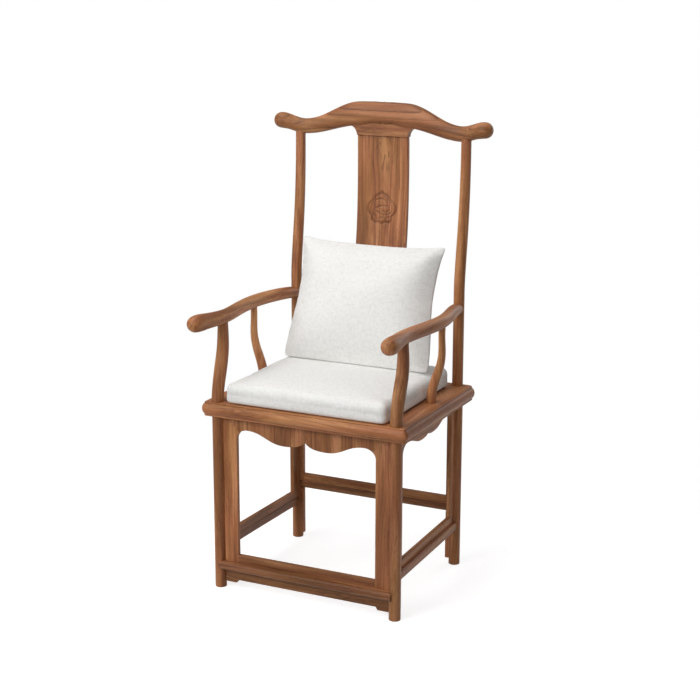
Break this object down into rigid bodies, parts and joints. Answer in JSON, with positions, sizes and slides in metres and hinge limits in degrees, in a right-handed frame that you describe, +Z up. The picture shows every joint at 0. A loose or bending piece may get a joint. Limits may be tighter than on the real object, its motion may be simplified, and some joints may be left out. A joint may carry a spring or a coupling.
{
  "type": "armchair",
  "caption": "Traditional official's hat armchair: straight-legged hardwood frame, protruding yoke crest rail and curved armrests, carved splat, lobed aprons, footrest, loose linen cushions.",
  "frame": {"origin": "on the floor, in the middle of the chair's overall width and depth", "axes": "+X to the right seen from in front, +Y to the back, +Z up"},
  "size_m": [0.611, 0.56, 1.2],
  "materials": {
    "hardwood": "satin oiled hardwood with darker grain streaks",
    "linen": "matt off-white slubby linen"
  },
  "bodies": {
    "root": {"crest_rail": "hardwood", "splat": "hardwood", "rear_post_left": "hardwood", "rear_post_right": "hardwood", "front_post_left": "hardwood", "front_post_right": "hardwood", "side_post_left": "hardwood", "side_post_right": "hardwood", "armrest_left": "hardwood", "armrest_right": "hardwood", "seat_rail_front": "hardwood", "seat_rail_rear": "hardwood", "seat_rail_left": "hardwood", "seat_rail_right": "hardwood", "seat_panel": "hardwood", "seat_brace_left": "hardwood", "seat_brace_right": "hardwood", "front_apron": "hardwood", "side_apron_left": "hardwood", "side_apron_right": "hardwood", "rear_apron": "hardwood", "front_jamb_left": "hardwood", "front_jamb_right": "hardwood", "side_jamb_front_left": "hardwood", "side_jamb_front_right": "hardwood", "side_jamb_rear_left": "hardwood", "side_jamb_rear_right": "hardwood", "rear_jamb_left": "hardwood", "rear_jamb_right": "hardwood", "front_sill": "hardwood", "side_sill_left": "hardwood", "side_sill_right": "hardwood", "rear_sill": "hardwood", "footrest": "hardwood", "footrest_apron": "hardwood", "side_stretcher_left": "hardwood", "side_stretcher_right": "hardwood", "rear_stretcher": "hardwood", "side_foot_strip_left": "hardwood", "side_foot_strip_right": "hardwood", "rear_foot_strip_left": "hardwood", "rear_foot_strip_right": "hardwood", "seat_cushion": "linen", "back_pillow": "linen"}
  },
  "joints": []
}
